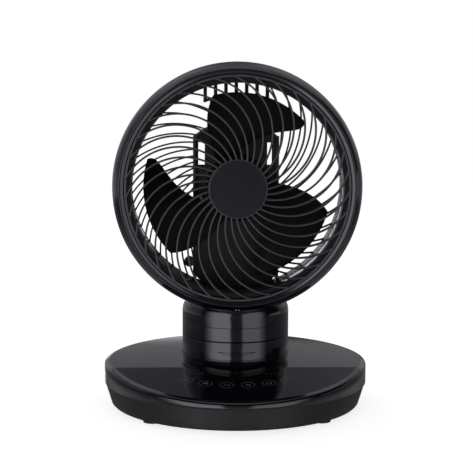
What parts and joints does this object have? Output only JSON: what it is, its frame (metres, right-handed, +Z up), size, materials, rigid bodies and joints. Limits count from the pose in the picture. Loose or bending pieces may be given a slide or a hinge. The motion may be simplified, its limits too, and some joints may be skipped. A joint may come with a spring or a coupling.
{
  "type": "air circulator fan",
  "caption": "Desk air circulator: a round touch-control base, a column that turns, and a round head that tilts up, with a spiral front guard and swept blades.",
  "frame": {"origin": "on the ground under the middle of the base, on the axis that the column turns about", "axes": "+Z up, -Y towards the front (the side that blows and carries the controls), +X to the right as seen from the front"},
  "size_m": [0.25, 0.25, 0.3236],
  "materials": {
    "gloss_black_shell": "gloss",
    "satin_black_shell": "satin",
    "grille_black": "satin",
    "rear_grille_black": "satin",
    "cap_grey": "matte",
    "spine_black": "satin",
    "blade_black": "satin gloss",
    "structure_black": "matte",
    "rubber_feet": "matte",
    "plated_steel": "zinc plated",
    "motor_steel": "satin",
    "circuit_board": "solder mask",
    "white_acetal": "satin",
    "sintered_bronze": "matte",
    "light_guide_clear": "frosted",
    "smoked_lens": "gloss",
    "contact_foam": "matte"
  },
  "bodies": {
    "base": {"base_tray": "satin_black_shell", "base_cover": "gloss_black_shell", "base_collar": "gloss_black_shell", "feet": "rubber_feet", "tray_screws": "plated_steel", "ballast_plate": "plated_steel", "main_board": "circuit_board", "dc_jack": "structure_black", "control_board": "circuit_board", "touch_pads": "contact_foam", "light_guide": "light_guide_clear", "pan_motor": "motor_steel", "pan_motor_screws": "plated_steel"},
    "pan_drive": {"pan_pinion": "white_acetal"},
    "column": {"column_frame": "structure_black", "slide_pads": "white_acetal", "pan_gear": "white_acetal", "pan_gear_screws": "plated_steel", "column_skirt": "gloss_black_shell", "ir_window": "smoked_lens", "column_band": "gloss_black_shell", "column_cradle": "gloss_black_shell", "pivot_axle_left": "plated_steel", "pivot_axle_right": "plated_steel", "tilt_gear": "white_acetal"},
    "tilt_drive": {"tilt_pinion": "white_acetal"},
    "head": {"bezel_ring": "gloss_black_shell", "grille_lock": "gloss_black_shell", "front_grille": "grille_black", "grille_cap": "cap_grey", "head_shell": "gloss_black_shell", "air_duct": "gloss_black_shell", "rear_grille": "rear_grille_black", "spine_front": "spine_black", "spine_cover": "satin_black_shell", "spine_screws": "plated_steel", "motor_can": "motor_steel", "motor_screws": "plated_steel", "tilt_motor": "motor_steel", "tilt_bushes": "sintered_bronze"},
    "rotor": {"fan_blade": "blade_black", "rotor_shaft": "plated_steel", "blade_nut": "structure_black"}
  },
  "joints": [
    {"name": "pan", "type": "hinge", "parent": "base", "child": "column", "pos_m": [0, 0, 0.0488], "axis": [0, 0, 1], "range_deg": [-45, 45]},
    {"name": "pan_drive_spin", "type": "hinge", "parent": "base", "child": "pan_drive", "pos_m": [0, 0.0384, 0.03], "axis": [0, 0, 1], "range_deg": [-140, 140]},
    {"name": "tilt", "type": "hinge", "parent": "column", "child": "head", "pos_m": [0, 0.018, 0.085], "axis": [-1, 0, 0], "range_deg": [0, 60]},
    {"name": "tilt_drive_spin", "type": "hinge", "parent": "head", "child": "tilt_drive", "pos_m": [0.011, 0.018, 0.103], "axis": [-1, 0, 0], "range_deg": [-5, 125]},
    {"name": "spin", "type": "hinge", "parent": "head", "child": "rotor", "pos_m": [0, -0.03, 0.2106], "axis": [0, 1, 0], "continuous": true}
  ],
  "couplings": [
    {"joint": "pan_drive_spin", "follows": "pan", "ratio": -3},
    {"joint": "tilt_drive_spin", "follows": "tilt", "ratio": 2}
  ]
}
